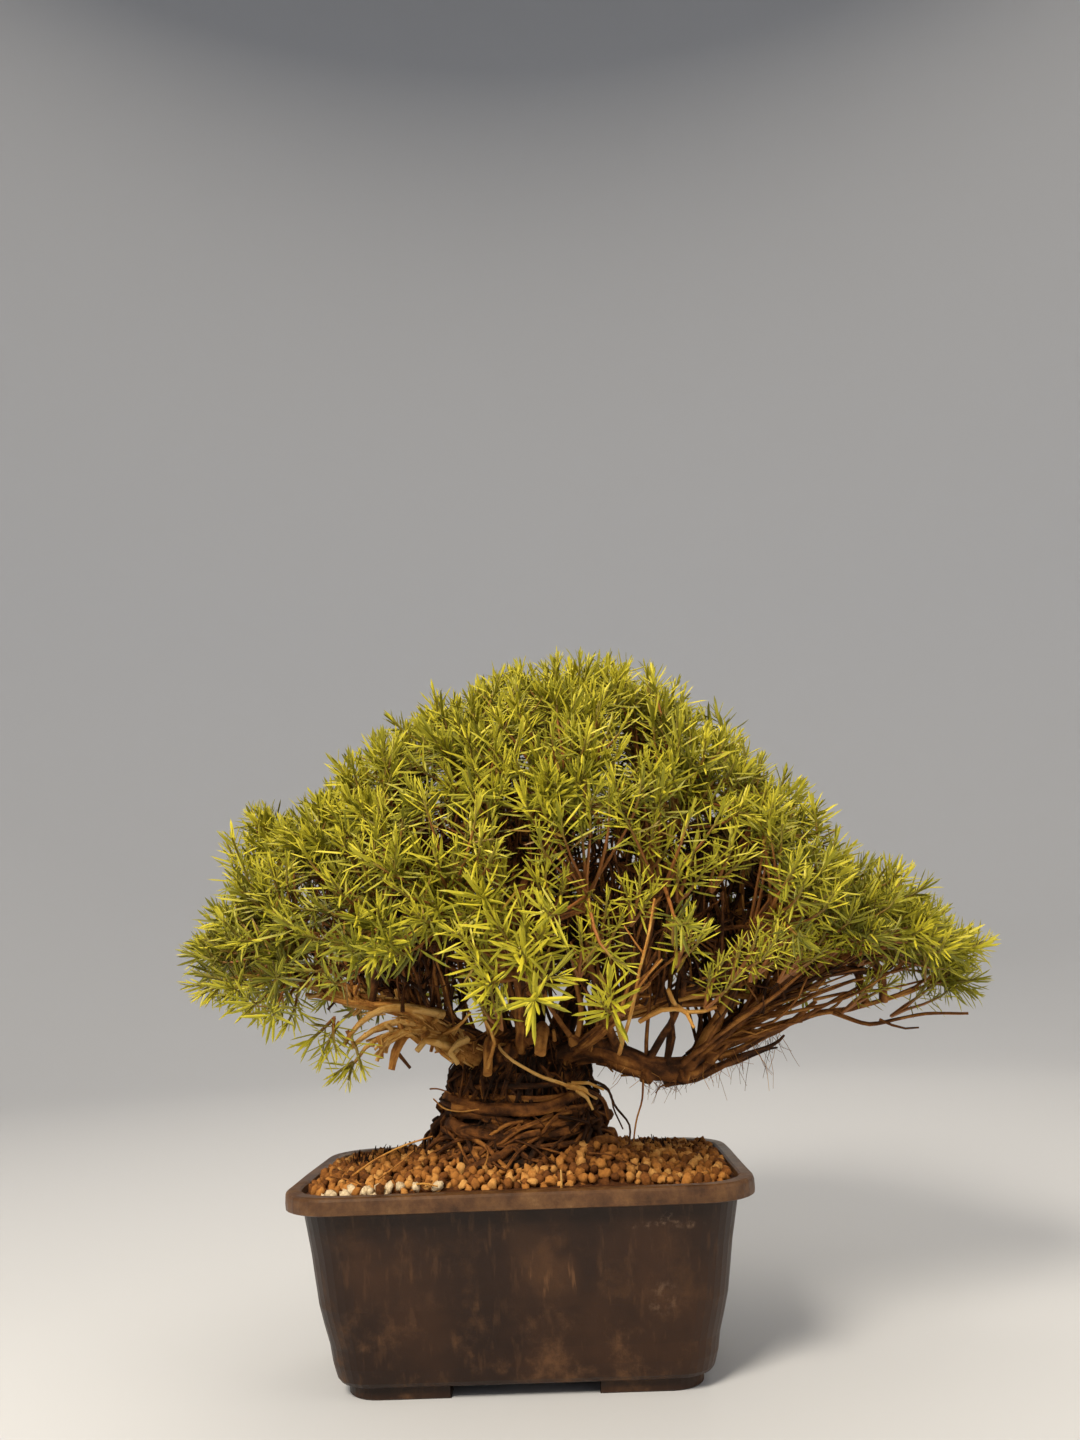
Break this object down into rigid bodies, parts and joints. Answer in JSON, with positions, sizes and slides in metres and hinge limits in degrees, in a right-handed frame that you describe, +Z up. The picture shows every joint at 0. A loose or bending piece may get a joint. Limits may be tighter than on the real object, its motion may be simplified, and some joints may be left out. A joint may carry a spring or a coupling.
{
  "type": "rosemary bonsai",
  "caption": "Potted rosemary bonsai: short trunk wound with roots, spreading limbs and a low wide crown of needles, in a rectangular plastic training pot on corner feet",
  "frame": {"origin": "under the middle of the object's bounding box, on the surface that the pot's feet stand on", "axes": "+Z up, +X to the right along the pot's long side and the crown's long reach, the tree's front towards -Y"},
  "size_m": [0.3964, 0.2764, 0.3261],
  "materials": {
    "pot": "matte",
    "soil": "matte",
    "wood": "matte",
    "foliage": "satin"
  },
  "bodies": {
    "root": {"pot": "pot", "soil": "soil", "trunk_and_roots": "wood", "spray_01": "foliage", "spray_02": "foliage", "spray_03": "foliage", "spray_04": "foliage", "spray_05": "foliage", "spray_06": "foliage", "spray_07": "foliage", "spray_08": "foliage", "spray_09": "foliage", "spray_10": "foliage", "spray_11": "foliage", "spray_12": "foliage", "spray_13": "foliage", "spray_14": "foliage", "spray_15": "foliage", "spray_16": "foliage", "spray_17": "foliage", "spray_18": "foliage", "spray_19": "foliage", "spray_20": "foliage", "spray_21": "foliage", "spray_22": "foliage", "spray_23": "foliage", "spray_24": "foliage", "spray_25": "foliage", "spray_26": "foliage", "spray_27": "foliage", "spray_28": "foliage", "spray_29": "foliage", "spray_30": "foliage", "spray_31": "foliage", "spray_32": "foliage", "spray_33": "foliage", "spray_34": "foliage", "spray_35": "foliage", "spray_36": "foliage", "spray_37": "foliage", "spray_38": "foliage", "spray_39": "foliage", "spray_40": "foliage", "spray_41": "foliage", "spray_42": "foliage", "spray_43": "foliage", "spray_44": "foliage", "spray_45": "foliage"}
  },
  "joints": []
}
